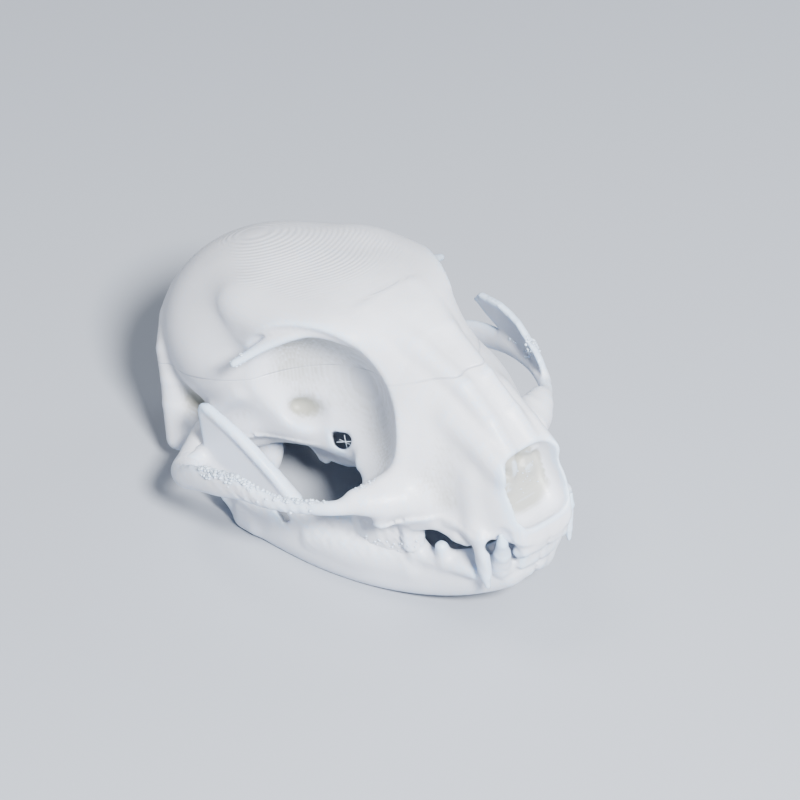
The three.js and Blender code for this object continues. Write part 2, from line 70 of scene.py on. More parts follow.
class Mould:
    """Distances to the plastic on a regular grid: below zero inside it."""

    def __init__(self, low, high, grain):
        self.low = np.array(low, float)
        self.grain = grain
        counts = [int(round((h - l) / grain)) + 1 for l, h in zip(low, high)]
        self.axes = [np.float32(l + grain * np.arange(n)) for l, n in zip(low, counts)]
        self.field = np.full(counts, FAR_OUTSIDE, np.float32)

    def near(self, low, high, margin):
        """The slab of the grid round a box, and its coordinates."""
        slab = []
        for i in range(3):
            start = int(np.floor((low[i] - margin - self.low[i]) / self.grain))
            stop = int(np.ceil((high[i] + margin - self.low[i]) / self.grain)) + 1
            slab.append(slice(max(start, 0), max(min(stop, self.field.shape[i]), 0)))
        x = self.axes[0][slab[0]][:, None, None]
        y = self.axes[1][slab[1]][None, :, None]
        z = self.axes[2][slab[2]][None, None, :]
        return tuple(slab), x, y, z

    def add(self, shape, fillet=1.0):
        """Join a shape to the plastic."""
        distance, low, high = shape
        slab, x, y, z = self.near(low, high, fillet + 2)
        if self.field[slab].size:
            self.field[slab] = soft_min(self.field[slab], distance(x, y, z), fillet)

    def carve(self, shape, fillet=0.6):
        """Cut a shape out of the plastic."""
        distance, low, high = shape
        slab, x, y, z = self.near(low, high, fillet + 2)
        if self.field[slab].size:
            self.field[slab] = -soft_min(-self.field[slab], distance(x, y, z), fillet)


def curve(place, *pairs):
    """Smooth curve through (place, value) pairs that never overshoots them."""
    xs = np.array([p[0] for p in pairs], float)
    ys = np.array([p[1] for p in pairs], float)
    width = np.diff(xs)
    slope = np.diff(ys) / width
    lean = np.concatenate([[slope[0]], np.zeros(len(xs) - 2), [slope[-1]]])
    for i in range(1, len(xs) - 1):
        if slope[i - 1] * slope[i] > 0:
            lean[i] = 2 * slope[i - 1] * slope[i] / (slope[i - 1] + slope[i])
    v = np.clip(place, xs[0], xs[-1])
    i = np.clip(np.searchsorted(xs, v, side="right") - 1, 0, len(xs) - 2)
    t = (v - xs[i]) / width[i]
    return ((2 * t**3 - 3 * t**2 + 1) * ys[i] + (t**3 - 2 * t**2 + t) * width[i] * lean[i]
            + (-2 * t**3 + 3 * t**2) * ys[i + 1] + (t**3 - t**2) * width[i] * lean[i + 1])


def turned(tip, roll, yaw):
    """Rotation by tip about x, then roll about y, then yaw about z, in degrees."""
    turns = [Matrix.Rotation(math.radians(a), 3, axis) for a, axis in ((tip, "X"), (roll, "Y"), (yaw, "Z"))]
    return np.array(turns[2] @ turns[1] @ turns[0])


def egg(centre, radii, turn=(0, 0, 0), square=2.0):
    """An egg; square above 2 makes it boxier."""
    axes = turned(*turn)
    reach = np.sqrt(((axes * np.array(radii))**2).sum(1)) * (1.0 if square == 2 else BOXY_REACH)

    def distance(x, y, z):
        parts = [x - centre[0], y - centre[1], z - centre[2]]
        local = [sum(axes[j, i] * parts[j] for j in range(3)) for i in range(3)]
        if square == 2:
            size = np.sqrt(sum((v / r)**2 for v, r in zip(local, radii))) + 1e-6
            steep = np.sqrt(sum((v / r**2)**2 for v, r in zip(local, radii))) + 1e-6
            return size * (size - 1) / steep
        size = sum(np.abs(v / r)**square for v, r in zip(local, radii))**(1 / square) + 1e-6
        return (size - 1) * min(radii)
    return distance, np.array(centre) - reach, np.array(centre) + reach


def rod(start, end, from_radius, to_radius):
    """Round rod with round ends, which may taper."""
    a, b = np.array(start, float), np.array(end, float)
    v = b - a
    most = max(from_radius, to_radius)

    def distance(x, y, z):
        p = [x - a[0], y - a[1], z - a[2]]
        t = np.clip(sum(p[i] * v[i] for i in range(3)) / float(v @ v), 0, 1)
        off = np.sqrt(sum((p[i] - t * v[i])**2 for i in range(3)))
        return off - (from_radius + (to_radius - from_radius) * t)
    return distance, np.minimum(a, b) - most, np.maximum(a, b) + most


def chain(rows, fillet=0.5):
    """Round rods end to end through rows of x, y, z, radius."""
    rods = [rod(p[:3], q[:3], p[3], q[3]) for p, q in zip(rows[:-1], rows[1:])]

    def distance(x, y, z):
        total = rods[0][0](x, y, z)
        for one in rods[1:]:
            total = soft_min(total, one[0](x, y, z), fillet)
        return total
    return distance, np.min([r[1] for r in rods], 0), np.max([r[2] for r in rods], 0)


def rounded(rows, steps=4):
    """Rounded path through the rows, with steps rows for each one given."""
    rows = np.array(rows, float)
    p = np.vstack([2 * rows[0] - rows[1], rows, 2 * rows[-1] - rows[-2]])
    out = []
    for i in range(1, len(p) - 2):
        for t in np.arange(steps) / steps:
            out.append(0.5 * (2 * p[i] + (p[i + 1] - p[i - 1]) * t
                              + (2 * p[i - 1] - 5 * p[i] + 4 * p[i + 1] - p[i + 2]) * t * t
                              + (3 * p[i] - p[i - 1] - 3 * p[i + 1] + p[i + 2]) * t**3))
    return np.array(out + [p[-2]])


def strap(rows, lean=0.0):
    """Bar of oval section through rows of x, y, z, half width, half height, turned by lean degrees."""
    rows = rounded(rows)
    a = math.radians(lean)
    points, wide, tall = rows[:, :3], rows[:, 3], rows[:, 4]
    pieces = []
    for i in range(len(points) - 1):
        along = points[i + 1] - points[i]
        forth = along / np.linalg.norm(along)
        side = np.cross(forth, [0, 0, 1])
        side /= np.linalg.norm(side)
        rise = np.cross(side, forth)
        side, rise = math.cos(a) * side + math.sin(a) * rise, -math.sin(a) * side + math.cos(a) * rise
        pieces.append((points[i], along, side, rise, forth, i))

    def distance(x, y, z):
        total = None
        for start, along, side, rise, forth, i in pieces:
            p = [x - start[0], y - start[1], z - start[2]]
            t = np.clip(sum(p[j] * along[j] for j in range(3)) / float(along @ along), 0, 1)
            p = [p[j] - t * along[j] for j in range(3)]
            w = wide[i] + (wide[i + 1] - wide[i]) * t
            h = tall[i] + (tall[i + 1] - tall[i]) * t
            local = [sum(p[j] * axis[j] for j in range(3)) for axis in (side, rise, forth)]
            sizes = (w, h, np.minimum(w, h))
            size = np.sqrt(sum((v / s)**2 for v, s in zip(local, sizes))) + 1e-6
            steep = np.sqrt(sum((v / s**2)**2 for v, s in zip(local, sizes))) + 1e-6
            one = size * (size - 1) / steep
            total = one if total is None else np.minimum(total, one)
        return total
    most = float(max(wide.max(), tall.max()))
    return distance, points.min(0) - most, points.max(0) + most


def loft(start, stop, half, top, low, square, level):
    """Body of cross-sections along y. level is where it is widest, from its floor (0) to its roof (1)."""
    def distance(x, y, z):
        w, t, b = half(y), top(y), low(y)
        middle = b + (t - b) * level
        reach = np.where(z > middle, t - middle, middle - b)
        n = square(y)
        size = ((np.abs(x) / w)**n + (np.abs(z - middle) / reach)**n)**(1 / n)
        return np.maximum((size - 1) * np.minimum(w, reach), np.maximum(start - y, y - stop))
    y = np.linspace(start, stop, 30)
    return distance, [0, start, float(low(y).min())], [float(half(y).max()), stop, float(top(y).max())]


def plate(outline, inner, outer, edge=0.6):
    """Upright plate with a side outline of (y, z) points, between inner(y, z) and outer(y, z)."""
    corners = np.array(outline, float)

    def distance(x, y, z):
        y, z = np.broadcast_arrays(y, z)
        nearest = np.full(y.shape, 1e9)
        inside = np.zeros(y.shape, bool)
        for (ay, az), (by, bz) in zip(corners, np.roll(corners, -1, 0)):
            ey, ez = by - ay, bz - az
            t = np.clip(((y - ay) * ey + (z - az) * ez) / (ey * ey + ez * ez), 0, 1)
            nearest = np.minimum(nearest, (y - ay - ey * t)**2 + (z - az - ez * t)**2)
            inside ^= ((az > z) != (bz > z)) & (y < ey * (z - az) / (ez + 1e-12) + ay)
        rim = np.where(inside, -1, 1) * np.sqrt(nearest)
        middle, half = (inner(y, z) + outer(y, z)) / 2, (outer(y, z) - inner(y, z)) / 2
        return -soft_min(-(rim + 0 * x), half - np.abs(x - middle), edge)
    low, high = corners.min(0), corners.max(0)
    y, z = np.meshgrid(np.linspace(low[0], high[0], 12), np.linspace(low[1], high[1], 12))
    return distance, [float(inner(y, z).min()), *low], [float(outer(y, z).max()), *high]


def steady(value):
    """A measure that is the same everywhere."""
    return lambda y, z=0: value + 0 * y


# ------------------------------------------------------------------ upper skull

def add_braincase(mould):
    mould.add(egg((0, 65.1, 16.7), (21.3, 23.0, 17.0)))
    mould.add(egg((0, 46.5, 21.0), (15.5, 24.0, 13.0)), 4)                    # forehead
    mould.add(egg((0, 49.0, 27.2), (19.0, 18.4, 6.7), square=3.2), 2.5)
    mould.add(egg((0, 39.0, 26.6), (11.0, 14.2, 6.3), square=2.3), 3)
    mould.add(rod((0, 34, 9), (0, 84, 8), 6.0, 6.5), 5)                       # floor of the skull
    mould.add(egg((0, 78.5, 11.5), (14.5, 8.6, 11)), 4)                       # back of the head
    mould.add(egg((14.8, 77.5, 7), (3.6, 5.0, 8.5)), 3)                       # side of the neck end
    mould.add(egg((15.2, 61.0, 5.0), (4.2, 6.8, 5.2)), 3)                     # wall behind the jaw's blade


def add_side_walls(mould):
    """Walls inside the eye sockets, down to the hollow behind the palate."""
    def half(y):
        return curve(y, (28, 12.5), (36, 10.8), (44, 11.6), (52, 13.8), (60, 15.5))

    def low(y):
        return curve(y, (28, 0), (34, 0.6), (44, 0.8), (50, 1.8), (60, 0.6))
    mould.add(loft(28, 60, half, steady(24), low, steady(2.2), level=0.16), 4)
    mould.add(egg((12.0, 54, 8.5), (3.4, 8.5, 5.0)), 4)


def add_muzzle(mould):
    def half(y):
        return curve(y, (-1, 5.8), (1, 7.4), (4, 8.6), (8, 9.5), (12, 11.0), (17, 14.6),
                     (22, 18.0), (28, 19.3), (33, 18.5))

    def top(y):
        return curve(y, (-1, 10.0), (2.6, 13.8), (8, 19.2), (14, 23.8), (20, 27.2), (28, 30.2), (34, 32))

    def low(y):
        return curve(y, (-1, -1.5), (8, -1.3), (12, -0.5), (15, -0.6), (18, -1.8), (33, -2.5))

    def square(y):
        return curve(y, (-1, 2.7), (6, 2.1), (14, 1.75), (24, 1.75), (34, 2.1))
    mould.add(loft(-1.2, 33, half, top, low, square, level=0.14), 2.5)
    mould.add(rod((12.2, 17.6, 4.2), (20.4, 20.8, 6.2), 3.8, 1.8), 3)         # root of the cheek arch
    mould.add(chain([(5.2, 2.4, 11.8, 1.3), (5.4, 7.5, 15.0, 1.3), (6.0, 14, 18.4, 1.1)]), 3)  # side of the nose
    mould.add(chain([(9.2, 9.2, -2.0, 1.2), (9.7, 11.0, -1.6, 1.2), (10.3, 13.0, -0.6, 1.1),
                     (11.3, 15.0, 0.4, 1.2), (12.8, 18.0, -0.2, 1.4)]), 2)    # gum line behind the long tooth
    mould.add(chain([(9.0, 7.6, 1.4, 1.4), (9.8, 11.5, 1.4, 1.4)]), 1.5)      # socket of the long tooth
    mould.add(chain([(18.4, 19.4, 5.0, 1.6), (18.8, 19.8, 2.6, 1.3)]), 2)     # knob under the arch's root
    mould.add(chain([(2.6, 3.6, 13.9, 1.0), (2.5, 8, 18.4, 1.3), (2.5, 14, 23.0, 1.5), (3.4, 24, 27.4, 2.0),
                     (5, 34, 30.4, 2.5)]), 1.3)                               # nasal bone


def carve_sockets(mould):
    mould.carve(egg((22.5, 34.8, 18.0), (16.0, 18.3, 15.6), (0, 0, 8)), 0.8)    # eye socket
    mould.carve(egg((20.8, 30.0, 14.2), (9.2, 13.0, 8.5)), 2.5)                 # its deeper front
    mould.carve(egg((22.4, 41.4, -1.5), (10.6, 16.7, 7.0), (0, 0, -9), 4), 1.5)  # open floor behind the teeth
    mould.carve(egg((0, 49, -1.5), (7.0, 12.5, 8.0), square=3), 1.2)          # hollow behind the palate
    mould.carve(egg((11.8, 46.4, 10.7), (2.0, 3.4, 1.7), (0, 0, -6)), 2.6)     # nerve hollow


def add_brow_tips(mould):
    mould.add(strap([(9.0, 34.6, 29.0, 2.6, 1.2), (13.0, 40.2, 29.8, 2.3, 1.0), (18.4, 45.1, 27.7, 1.5, 0.85),
                     (24.0, 48.5, 25.0, 0.8, 0.7)]), 2.0)


def add_arches(mould):
    mould.add(strap([(15.6, 17.2, 5.6, 1.8, 2.2), (20.8, 20.8, 6.1, 1.4, 1.7), (25.4, 25, 5.9, 1.2, 1.3),
                     (28.4, 30, 5.7, 1.1, 1.1), (30.4, 35, 5.7, 1.1, 1.4), (31.5, 41, 6.2, 1.1, 2.1),
                     (32.3, 47, 5.5, 1.2, 2.5), (32.4, 53, 4.3, 1.4, 2.4), (31.5, 57.8, 2.3, 1.8, 2.1),
                     (28.9, 61.4, 1.3, 2.3, 1.6), (25, 63.8, 1.0, 2.7, 1.6), (19, 66, 2.4, 3.4, 2.2)]), 1.5)
    mould.add(chain([(12.5, 18.5, 7.4, 2.4), (17.0, 20.8, 7.4, 1.9), (21.4, 22.8, 6.9, 1.5)]), 2)  # lower socket rim
    mould.add(chain([(20, 64, 4, 1.5), (19.6, 62, 9, 0.9), (18.6, 56, 14, 0.6)]), 2.5)  # ridge up the wall


def add_base(mould):
    mould.add(egg((12.5, 71.0, -0.5), (7.0, 9.5, 7.2), (0, 0, -12)), 1.5)     # ear capsule
    mould.add(egg((10.2, 61.0, -3.4), (2.3, 2.9, 5.2), (0, -12, 0)), 1.2)     # front lip of the capsule
    mould.add(egg((5.8, 84.6, 5.2), (3.8, 3.4, 4.4)), 1.5)                    # condyle
    mould.carve(egg((0, 89.8, 10), (6.3, 6.8, 5.0)), 0.8)                     # opening for the spinal cord
    mould.add(chain([(0, 85.5, 22.5, 1.6), (8, 84.0, 21.0, 1.4), (13.5, 81, 18.5, 1.4), (17.5, 78.2, 14.5, 1.5),
                     (18.2, 76.9, 9, 1.8), (18.5, 76.8, 4, 2.1), (18.5, 76.8, -3.2, 2.5)]), 2.5)  # crest over the neck
    wing = [(36, 5), (38, 0.2), (42, -1.4), (47, -2.2), (48.4, -3.5), (50.2, -3.3), (51, -1.9), (53, -1), (54.5, 4)]
    mould.add(plate(wing, steady(6.2), lambda y, z: 7.6 + 0.12 * (z + 4), 0.8), 1.5)  # wing behind the palate


def carve_wall_hole(mould):
    """Small hole through the side wall of the eye socket, into the hollow behind the palate."""
    mould.carve(rod((12.4, 36.0, 8.8), (4.9, 45.2, 1.5), 1.4, 1.6), 0.4)
    mould.carve(rod((12.4, 37.0, 8.6), (4.9, 46.2, 1.3), 1.2, 1.4), 0.4)
    mould.carve(rod((12.4, 38.2, 9.2), (4.9, 47.2, 1.9), 0.7, 0.8), 0.3)


def carve_nose(mould):
    mould.carve(egg((0, 0.4, 8.1), (6.0, 5.5, 6.3), (-35, 0, 0), square=4), 0.5)
    for x, y, z, wide, tall in ((-2.6, 7.9, 6.4, 2.4, 1.6), (-0.4, 7.9, 9.4, 1.2, 3.0), (2.9, 8.0, 7.6, 2.2, 2.4),
                                (-3.0, 8.2, 10.4, 2.0, 1.4), (3.6, 8.0, 11.4, 1.8, 1.5)):
        mould.add(egg((x, y, z), (wide, 2.9, tall)), 1.2)                     # curled bones deep inside


# ------------------------------------------------------------------ lower jaw

def jaw_low(y):
    """Height of the jaw's lower edge."""
    return curve(y, (0, -9.0), (3.4, -10.6), (5.5, -11.9), (9, -13.7), (14, -15.3), (20, -16.4), (27, -16.6),
                 (35, -16.0), (43, -14.7), (52, -13.2), (58, -10.5))


def jaw_side(y):
    """How far out the jaw's outer side stands."""
    return curve(y, (2, 3.0), (5, 6.1), (8, 8.0), (15, 11.3), (20, 13.6), (30, 17.8), (40, 20.8), (50, 22.5),
                 (60, 23.5), (66, 24))


def jaw_blade(y, z):
    """How far out the middle of the rising blade stands."""
    return curve(y, (38, 18.3), (50, 20.9), (60, 22.6), (66, 23.2)) + 0.06 * (z + 5)


def add_jaw(mould):
    rows = []
    for y, wide, tall in ((6.4, 2.6, 3.9), (9, 2.4, 4.1), (14, 2.0, 4.3), (21, 2.3, 4.4), (29, 2.6, 4.4),
                          (38, 2.4, 4.6), (47, 2.1, 5.2), (55, 1.6, 4.2)):
        rows.append((float(jaw_side(y)) - wide, y, float(jaw_low(y)) + tall, wide + 0.15, tall + 0.2))
    mould.add(strap(rows), 1)
    mould.add(strap([(12.8, 21, -9.8, 1.8, 2.4), (16.2, 30, -9.4, 2.2, 2.8), (19.2, 39, -8.0, 2.0, 2.6)]), 1.5)
    edge = [(15.6, -12), (16.4, -7.9), (18, -8.2), (19.6, -7.8), (21.2, -8.4), (23.1, -8.9), (25.2, -8.3),
            (26.3, -9.1), (27.6, -9.3), (29.2, -8.3), (31.2, -8.0), (32.6, -8.6), (34.0, -9.2), (34.9, -7.8),
            (38, -6.9), (41, -5.7), (44.5, -4.2), (46, -8), (44, -12)]
    mould.add(plate(edge, lambda y, z: jaw_side(y) - 2.2, lambda y, z: jaw_side(y) - 0.35, 0.35), 0.6)  # broken rim
    blade = [(38.2, -10), (41.2, -4.7), (46.6, 2.1), (53.5, 8.7), (58.8, 12.2), (60.6, 12.6), (61.6, 11), (61.8, 3.5),
             (64.5, 1.5), (61.8, -3.5), (59.9, -7.8), (56.6, -11.4), (50, -12)]
    mould.add(plate(blade, lambda y, z: jaw_blade(y, z) - 0.7, lambda y, z: jaw_blade(y, z) + 0.7), 1.6)
    mould.add(strap([(18.8, 43.2, -3, 1.5, 1.1), (20.8, 47.1, 2.8, 1.3, 1.0), (22.3, 53.0, 8.1, 1.1, 0.9),
                     (23.5, 59.2, 11.9, 0.7, 0.6)]), 1)                       # thick front edge
    mould.add(strap([(21.4, 47, -6, 1.0, 1.4), (22.6, 54, -4.6, 0.9, 1.2), (23.2, 60, -1.0, 0.8, 1.0)]), 1.6)
    mould.add(rod((16.5, 63.0, 0.8), (28.0, 62.0, 0.9), 1.9, 1.7), 1.5)       # hinge knuckle
    mould.add(chain([(21.2, 52.5, -10.2, 2.0), (21.2, 56.0, -10.6, 1.4), (20.6, 58.4, -10.9, 0.9)]), 1.5)
    mould.add(strap([(1.5, 4.6, -7.9, 2.2, 3.3), (3.0, 8, -9.4, 2.2, 3.9), (5.4, 13, -11.4, 1.4, 2.8)]), 2)


# ------------------------------------------------------------------ teeth

def tooth_row(y):
    """How far out the upper back teeth stand."""
    return curve(y, (15, 12.2), (20, 13.5), (25, 14.9), (30, 16.0), (37, 17.0))


def add_upper_teeth(mould):
    mould.add(chain([(7.2, 8.9, 9.5, 1.3), (8.0, 7.4, 4.0, 1.5), (8.9, 6.2, 0, 1.5)]), 2.5)
    mould.add(strap([(9.2, 5.6, 0.5, 2.0, 1.4), (9.6, 5.2, -3.5, 1.75, 1.2), (9.7, 4.8, -6.8, 1.15, 0.9),
                     (9.6, 4.5, -9.7, 0.4, 0.35)], lean=78), 1)
    mould.carve(egg((8.6, 0.9, 0.4), (2.0, 2.2, 2.9)), 0.5)                   # notch for the lower canine
    mould.carve(rod((10.6, 1.3, 0.2), (6.4, 6.4, -3.2), 1.1, 1.3), 0.4)       # gap between the two canines
    for i in range(3):
        x, y = 0.95 + 1.75 * i, 0.12 * i * i
        mould.add(chain([(x, y + 0.1, 1.4, 1.1), (x, y - 0.3, -2.8 - 0.2 * i, 0.9)]), 1.4)
    mould.add(chain([(0, 0.9, -3.2, 1.2), (4.4, 1.6, -3.6, 1.2)]), 1)           # fused edge of the front teeth
    row = [(17.8, 3), (18.2, -4.6), (18.2, -7.6), (19.6, -7.2), (21, -8.6), (25, -9), (29, -7.4), (31.6, -7.6),
           (32.4, -5.2), (31.6, -1), (29.5, 2)]
    mould.add(plate(row, lambda y, z: tooth_row(y) - 2.4, lambda y, z: tooth_row(y), 0.8), 1.5)
    mould.add(chain([(13.4, 19.6, -1.0, 1.2), (13.6, 19.8, -5.4, 1.0)]), 1.0)
    mould.add(strap([(13.6, 22.4, -4.4, 0.9, 2.0), (14.7, 25.6, -4.8, 1.0, 2.6), (15.6, 29.0, -4.2, 0.9, 2.0)]), 1.2)


def add_lower_teeth(mould):
    mould.add(chain([(5.8, 5.2, -7.2, 2.1), (7.0, 3.1, -3.5, 1.4), (7.8, 1.9, -0.5, 0.95), (8.2, 1.5, 1.6, 0.4)]), 1)
    for i in range(3):
        mould.add(chain([(0.8 + 1.3 * i, 2.2 + 0.2 * i, -7, 1.0), (0.8 + 1.35 * i, 0.9 + 0.3 * i, -3.4, 0.7)]), 0.7)
    mould.add(chain([(9.0, 8.5, -8.4, 1.2), (10.4, 14, -8.0, 1.2), (11.8, 19, -7.8, 1.2)]), 1.6)
    mould.add(chain([(10.4, 14.4, -6.6, 1.5), (10.8, 14.3, -4.9, 1.2)]), 0.9)
    mould.add(chain([(11.6, 19.8, -7, 2.1), (12.0, 20.2, -3.0, 0.9)]), 0.9)
    mould.add(strap([(12.9, 25, -6.5, 1.5, 3.6), (14.3, 29.5, -5.8, 1.4, 3.8), (15.9, 34, -6.4, 1.3, 2.6),
                     (17.3, 39, -6.0, 1.2, 2.5)]), 0.9)


# ------------------------------------------------------------------ both sides, and what one side lacks

def roughen(mould, low, high, depth, pitch):
    """Uneven skin inside a box, as where the nozzle dragged over small shapes."""
    slab, x, y, z = mould.near(low, high, 0)
    waves = (np.sin(pitch * (x + 0.6 * y)) * np.sin(pitch * 1.3 * (y - 0.5 * z) + 1.1)
             + np.sin(pitch * 1.7 * (z + 0.4 * x) + 0.7) * np.sin(pitch * 0.8 * (x - y)))
    inside = np.ones(1, np.float32)
    for place, start, stop in ((x, low[0], high[0]), (y, low[1], high[1]), (z, low[2], high[2])):
        inside = inside * np.clip((place - start) / 1.5, 0, 1) * np.clip((stop - place) / 1.5, 0, 1)
    mould.field[slab] += (depth * waves * inside).astype(np.float32)


def over_table(y, z):
    """Height above the table in mm, for a place in the skull's frame."""
    return -(y - PIVOT_BACK) * math.sin(NOSE_UP) + z * math.cos(NOSE_UP) + REST_DEPTH


def flat_below(mould):
    """Cut the underside flat where the skull rests on the table."""
    height = over_table(mould.axes[1][None, :, None], mould.axes[2][None, None, :])
    mould.field = np.maximum(mould.field, FOOT_GAP - height)


def both_sides(build, grain):
    """Fill a half grid that reaches a little past the middle plane, and mirror it there."""
    past = 2
    half = Mould((-past * grain, *FIELD_LOW), FIELD_HIGH, grain)
    build(half)
    ends = [axis[-1] for axis in half.axes]
    whole = Mould((-ends[0], *FIELD_LOW), ends, grain)
    whole.field = np.concatenate([half.field[past + 1:][::-1], half.field[past:]], 0)
    return whole


def build_upper_half(mould):
    add_braincase(mould)
    add_muzzle(mould)
    add_side_walls(mould)
    carve_sockets(mould)
    add_brow_tips(mould)
    add_arches(mould)
    add_base(mould)
    carve_wall_hole(mould)
    add_upper_teeth(mould)


def build_jaw_half(mould):
    add_jaw(mould)
    mould.carve(rod((9.6, 2.2, -1.2), (4.6, 8.6, -5.8), 1.0, 1.2), 0.4)       # gap behind the long tooth
    add_lower_teeth(mould)


def add_cheek_prong(mould):
    """Upright prong of the left cheek arch; the right one is broken off."""
    outline = [(26, 5.5), (27.4, 10.3), (31.2, 12.2), (34.2, 14.4), (40, 15.9), (46.2, 15.7), (48.6, 13.6),
               (46.2, 11.2), (43.4, 9.0), (41.8, 6)]

    def middle(y, z):
        return curve(y, (24, 25.8), (30, 29.0), (38, 31.7), (47, 33.0)) - 0.26 * np.maximum(z - 7, 0)
    mould.add(plate(outline, lambda y, z: middle(y, z) - 0.8, lambda y, z: middle(y, z) + 0.7, 0.5), 1.0)


def upper_skull(grain):
    mould = both_sides(build_upper_half, grain)
    add_cheek_prong(mould)
    carve_nose(mould)
    roughen(mould, (-12, -3, -12), (12, 8, 1), 0.05, 2.1)
    roughen(mould, (-34, 26, 3.5), (-24, 60, 10), 0.13, 2.6)
    roughen(mould, (-19, 17, -9.5), (-10, 33, -1), 0.12, 2.3)
    return mould


def lower_jaw(grain):
    mould = both_sides(build_jaw_half, grain)
    for y, z in ((45.4, -4.4), (44.6, -5.2), (43.8, -6.0)):                   # slit in the right side
        mould.carve(rod((-22.6, y - 1.8, z + 1.3), (-18.0, y + 4.0, z - 3.1), 0.8, 0.7), 0.2)
    roughen(mould, (-10, -3, -11), (10, 9, 0), 0.05, 2.2)
    roughen(mould, (-22, 14, -9.5), (-10, 42, -4), 0.09, 2.4)
    flat_below(mould)
    return mould


# ------------------------------------------------------------------ from the field to a mesh

def laid(points):
    """From the skull's frame in mm to the table's frame in metres."""
    points = np.asarray(points, float)
    x, y, z = points[..., 0], points[..., 1], points[..., 2]
    back = (y - PIVOT_BACK) * math.cos(NOSE_UP) + z * math.sin(NOSE_UP) + PIVOT_BACK - MIDDLE_BACK
    return np.stack([x, back, over_table(y, z)], -1) / 1000


def softened(values, reach):
    """Average of a grid over a cube of reach cells each way."""
    for axis in range(3):
        total = np.cumsum(values, axis)
        last = values.shape[axis] - 1
        upper = np.minimum(np.arange(last + 1) + reach, last)
        lower = np.arange(last + 1) - reach - 1
        below = np.take(total, np.maximum(lower, 0), axis)
        shape = [1, 1, 1]
        shape[axis] = -1
        below = below * (lower >= 0).reshape(shape)
        values = (np.take(total, upper, axis) - below) / (2 * reach + 1)
    return values


def enclosure(mould, points, reach_mm):
    """How much plastic lies around each point: 0 on a spike, about 0.5 on a flat, 1 deep in a hollow."""
    solid = np.clip(0.5 - mould.field / mould.grain, 0, 1).astype(np.float32)
    near = softened(solid, max(int(round(reach_mm / mould.grain)), 1))
    cells = np.round((points - mould.low) / mould.grain).astype(int)
    cells = np.clip(cells, 0, np.array(near.shape) - 1)
    return near[cells[:, 0], cells[:, 1], cells[:, 2]]


def skinned(name, mould):
    """Mesh of quads where the field is zero, with how much plastic lies round each point as attributes."""
    grid = openvdb.FloatGrid()
    grid.background = BAND
    grid.copyFromArray(np.clip(mould.field, -BAND, BAND).astype(np.float32))
    points, quads = grid.convertToQuads(0.0)
    points = np.array(points) * mould.grain + mould.low
    mesh = bpy.data.meshes.new(name)
    mesh.from_pydata(laid(points).tolist(), [], np.array(quads)[:, ::-1].tolist())
    for title, reach in (("near_plastic", 1.6), ("wide_plastic", 5.0)):
        values = mesh.attributes.new(title, "FLOAT", "POINT")
        values.data.foreach_set("value", enclosure(mould, points, reach).astype(np.float32))
    return finished(name, mesh)


def linked(name, data):
    """Object for a mesh, light or camera, put into the scene."""
    made = bpy.data.objects.new(name, data)
    bpy.context.collection.objects.link(made)
    return made


def finished(name, mesh):
    """Object for a mesh, with its faces turned outwards and shaded smooth."""
    bm = bmesh.new()
    bm.from_mesh(mesh)
    bmesh.ops.recalc_face_normals(bm, faces=bm.faces)
    for face in bm.faces:
        face.smooth = True
    bm.to_mesh(mesh)
    bm.free()
    return linked(name, mesh)


def mesh_of(name, bm):
    """Mesh with what was built in bm, which is then let go."""
    mesh = bpy.data.meshes.new(name)
    bm.to_mesh(mesh)
    bm.free()
    return mesh


# ------------------------------------------------------------------ plastic

# Direction in which the layers were stacked, the height of one layer, and where one layer has shifted.
PRINT_TILT = math.radians(11.3) + NOSE_UP
PRINT_AXIS = (0.0, math.sin(PRINT_TILT), math.cos(PRINT_TILT))
LAYER_HEIGHT = 0.0002
SHIFTED_LAYER = 0.0321
SHIFT_WIDTH = 0.00024
# painted shade, bluish as in shadow, for the groove of the shifted layer
SHIFT_SHADE_COLOUR = (0.40, 0.44, 0.55)
NOSE_HOLLOW = (0.0, 4.6, 8.2)     # middle of the nose's hollow, in the skull's frame
NOSE_REACH = (0.0056, 0.0076)     # painted shade in the nose's hollow is full within the first, gone past the second
LEVEL_SKIN = (0.955, 0.992)       # how squarely the skin faces up the stack where steps start, and are full
STREAK_CELLS = (60.0, 1600.0)     # noise cells in a metre, along the layers and across them
CLOUD_SCALE = 75.0                # slow change of shade
GRIT_SCALE = 1900.0               # fine tooth of the skin

# How much each pattern lifts the skin, as shares of RELIEF_DEPTH, in metres. The shifted layer sinks.
RELIEF_DEPTH = 0.00011
STREAK_RELIEF = 0.30
STEP_RELIEF = 0.35
GRIT_RELIEF = 0.22
SHIFT_RELIEF = 1.6


def output(socket):
    """The first output of a node, or the socket itself."""
    return socket.outputs[0] if hasattr(socket, "outputs") else socket


def fed(tree, kind, *inputs, **settings):
    """A shader node with its settings made and its inputs linked or set, in order."""
    made = tree.nodes.new(kind)
    for key, value in settings.items():
        setattr(made, key, value)
    for slot, value in zip(made.inputs, inputs):
        if value is None:
            continue
        if isinstance(value, (int, float, tuple)):
            slot.default_value = value
        else:
            tree.links.new(output(value), slot)
    return made


def sums(tree, operation, *inputs):
    return fed(tree, "ShaderNodeMath", *inputs, operation=operation)


def ranged(tree, value, low, high, to_low=0.0, to_high=1.0):
    return fed(tree, "ShaderNodeMapRange", value, low, high, to_low, to_high, interpolation_type="SMOOTHSTEP")


